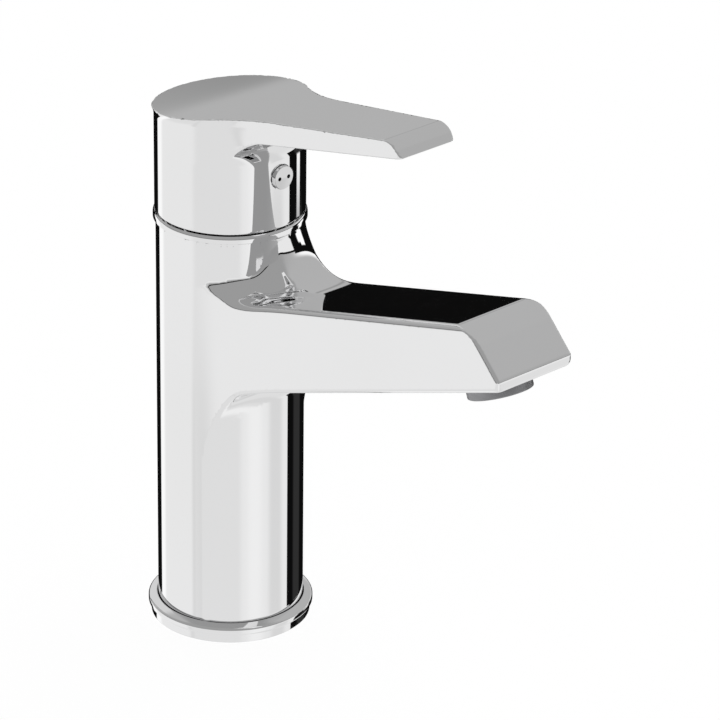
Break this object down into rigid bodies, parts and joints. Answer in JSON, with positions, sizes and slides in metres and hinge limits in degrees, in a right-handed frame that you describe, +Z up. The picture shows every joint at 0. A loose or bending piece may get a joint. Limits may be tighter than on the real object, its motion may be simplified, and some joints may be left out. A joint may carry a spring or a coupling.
{
  "type": "bathroom mixer faucet",
  "caption": "Single-lever chrome basin mixer: round column body, rising flat-sided spout with a cut-off end, and a cap handle with a flat blade lever.",
  "frame": {"origin": "on the deck, on the axis of the round body", "axes": "+X along the spout, +Z up along the body's axis, +Y towards the cold side and -Y towards the hot side"},
  "size_m": [0.1587, 0.0522, 0.1884],
  "materials": {
    "chrome": "polished chrome plating on cast brass",
    "handle_chrome": "polished chrome plating on die-cast zinc",
    "brass": "machined brass",
    "steel": "stainless steel",
    "ceramic": "lapped alumina ceramic",
    "white_plastic": "moulded white plastic",
    "grey_plastic": "moulded grey plastic",
    "black_rubber": "moulded seal rubber",
    "red_enamel": "filled enamel dot",
    "blue_enamel": "filled enamel dot"
  },
  "bodies": {
    "body": {"faucet_body": "chrome", "base_ring": "chrome", "base_gasket": "black_rubber", "collar_ring": "chrome", "inlet_block": "brass", "hot_inlet_seal": "black_rubber", "cold_inlet_seal": "black_rubber", "outlet_seal": "black_rubber", "cartridge_base": "white_plastic", "fixed_disc": "ceramic", "cartridge_housing": "white_plastic", "cartridge_nut": "brass", "aerator_housing": "chrome", "aerator_insert": "grey_plastic", "aerator_screen": "steel", "aerator_gasket": "black_rubber"},
    "swivel": {"turret": "grey_plastic", "pivot_pin": "steel"},
    "slider": {"moving_disc": "ceramic", "disc_carrier": "grey_plastic"},
    "lever": {"handle": "handle_chrome", "stem": "brass", "set_screw": "steel", "indicator_cap": "handle_chrome", "hot_mark": "red_enamel", "cold_mark": "blue_enamel"}
  },
  "joints": [
    {"name": "temperature_turn", "type": "hinge", "parent": "body", "child": "swivel", "pos_m": [0, 0, 0.1488], "axis": [0, 0, 1], "range_deg": [-45, 45]},
    {"name": "lever_lift", "type": "hinge", "parent": "swivel", "child": "lever", "pos_m": [0, 0, 0.1488], "axis": [0, -1, 0], "range_deg": [0, 20]},
    {"name": "disc_slide", "type": "slide", "parent": "swivel", "child": "slider", "axis": [1, 0, 0], "range_m": [0, 0.0038]}
  ],
  "couplings": [
    {"joint": "disc_slide", "follows": "lever_lift", "m_per_rad": 0.0105}
  ]
}
